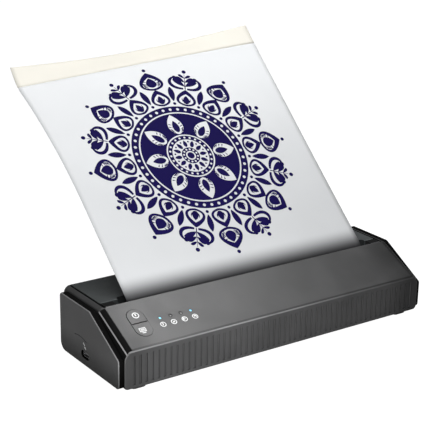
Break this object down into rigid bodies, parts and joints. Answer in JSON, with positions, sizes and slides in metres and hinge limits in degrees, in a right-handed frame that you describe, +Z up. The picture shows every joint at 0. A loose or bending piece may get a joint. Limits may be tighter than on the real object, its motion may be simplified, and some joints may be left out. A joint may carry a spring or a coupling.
{
  "type": "thermal stencil copier",
  "caption": "Low desk-top thermal printer with a sloping control panel, bevelled end plates and a hinged rear cover, holding a stencil sheet that leans back out of its slot.",
  "frame": {"origin": "on the desk under the middle of the casing", "axes": "+X to the right along the machine seen from its front, +Y to the rear, +Z up"},
  "size_m": [0.2752, 0.2145, 0.1994],
  "materials": {
    "casing_plastic": "satin dark grey moulding with a fine grain",
    "tray_plastic": "matte black moulding",
    "foot_rubber": "matte",
    "screw_steel": "zinc plated",
    "end_plate_plastic": "fine grained dark grey with a bright bevel",
    "cover_plastic": "satin dark grey moulding",
    "pin_steel": "ground",
    "guide_plastic": "smooth black moulding",
    "platen_rubber": "ground smooth",
    "shaft_steel": "ground",
    "bush_plastic": "natural acetal",
    "gear_plastic": "natural acetal",
    "pinion_brass": "cut",
    "motor_can": "plated can",
    "frame_steel": "zinc plated sheet",
    "sink_aluminium": "extruded",
    "head_ceramic": "glazed ceramic",
    "spring_steel": "wire",
    "sensor_plastic": "smooth",
    "cell_wrap": "shrink film",
    "board_laminate": "solder resist",
    "chip_plastic": "moulded",
    "socket_steel": "drawn shell",
    "lamp_epoxy": "clear",
    "button_plastic": "satin",
    "lens_lit": "lit, pale cyan",
    "lens_dark": "unlit smoke",
    "cable_film": "polyimide film",
    "stencil_paper": "uncoated stencil paper with an indigo printed design",
    "stub_paper": "cream paper"
  },
  "bodies": {
    "base": {"main_casing": "casing_plastic", "base_tray": "tray_plastic", "rubber_feet": "foot_rubber", "case_screws": "screw_steel", "left_end_plate": "end_plate_plastic", "right_end_plate": "end_plate_plastic", "hinge_pins": "pin_steel", "idler_axle": "shaft_steel", "feed_motor": "motor_can", "left_side_frame": "frame_steel", "right_side_frame": "frame_steel", "frame_screws": "screw_steel", "head_rail": "frame_steel", "head_springs": "spring_steel", "paper_deck": "guide_plastic", "paper_sensor": "sensor_plastic", "battery_cells": "cell_wrap", "main_board": "board_laminate", "board_posts": "tray_plastic", "board_components": "chip_plastic", "charge_board": "board_laminate", "power_socket": "socket_steel", "control_board": "board_laminate", "button_switches": "chip_plastic", "indicator_lamps": "lamp_epoxy", "indicator_lens_1": "lens_lit", "indicator_lens_2": "lens_dark", "indicator_lens_3": "lens_dark", "indicator_lens_4": "lens_lit", "head_cable": "cable_film"},
    "rear_cover": {"rear_cover": "cover_plastic", "upper_guide": "guide_plastic", "platen_bearings": "bush_plastic", "stencil_sheet": "stencil_paper", "binding_stub": "stub_paper"},
    "platen": {"platen_roller": "platen_rubber", "platen_shaft": "shaft_steel", "platen_gear": "gear_plastic"},
    "idler": {"idler_gear": "gear_plastic"},
    "pinion": {"motor_pinion": "pinion_brass", "motor_shaft": "shaft_steel"},
    "print_head": {"heat_sink": "sink_aluminium", "print_head_strip": "head_ceramic", "head_pins": "pin_steel"},
    "power_button": {"power_button": "button_plastic"},
    "feed_button": {"feed_button": "button_plastic"}
  },
  "joints": [
    {"name": "cover_hinge", "type": "hinge", "parent": "base", "child": "rear_cover", "pos_m": [0, 0.04185, 0.036], "axis": [-1, 0, 0], "range_deg": [0, 55]},
    {"name": "platen_spin", "type": "hinge", "parent": "rear_cover", "child": "platen", "pos_m": [0, -0.0005, 0.033], "axis": [1, 0, 0], "continuous": true},
    {"name": "idler_spin", "type": "hinge", "parent": "base", "child": "idler", "pos_m": [0.114, -0.0005, 0.0222], "axis": [1, 0, 0], "continuous": true},
    {"name": "pinion_spin", "type": "hinge", "parent": "base", "child": "pinion", "pos_m": [0.114, 0.00417, 0.01522], "axis": [1, 0, 0], "continuous": true},
    {"name": "head_rock", "type": "hinge", "parent": "base", "child": "print_head", "pos_m": [0, -0.0106, 0.02], "axis": [-1, 0, 0], "range_deg": [-1, 0], "stiffness_Nm_per_rad": 2},
    {"name": "power_press", "type": "slide", "parent": "base", "child": "power_button", "axis": [0, 0.4358, -0.9], "range_m": [0, 0.0006], "stiffness_N_per_m": 400},
    {"name": "feed_press", "type": "slide", "parent": "base", "child": "feed_button", "axis": [0, 0.4358, -0.9], "range_m": [0, 0.0006], "stiffness_N_per_m": 400}
  ],
  "couplings": [
    {"joint": "idler_spin", "follows": "platen_spin", "ratio": -1.25},
    {"joint": "pinion_spin", "follows": "platen_spin", "ratio": 1.6667}
  ]
}
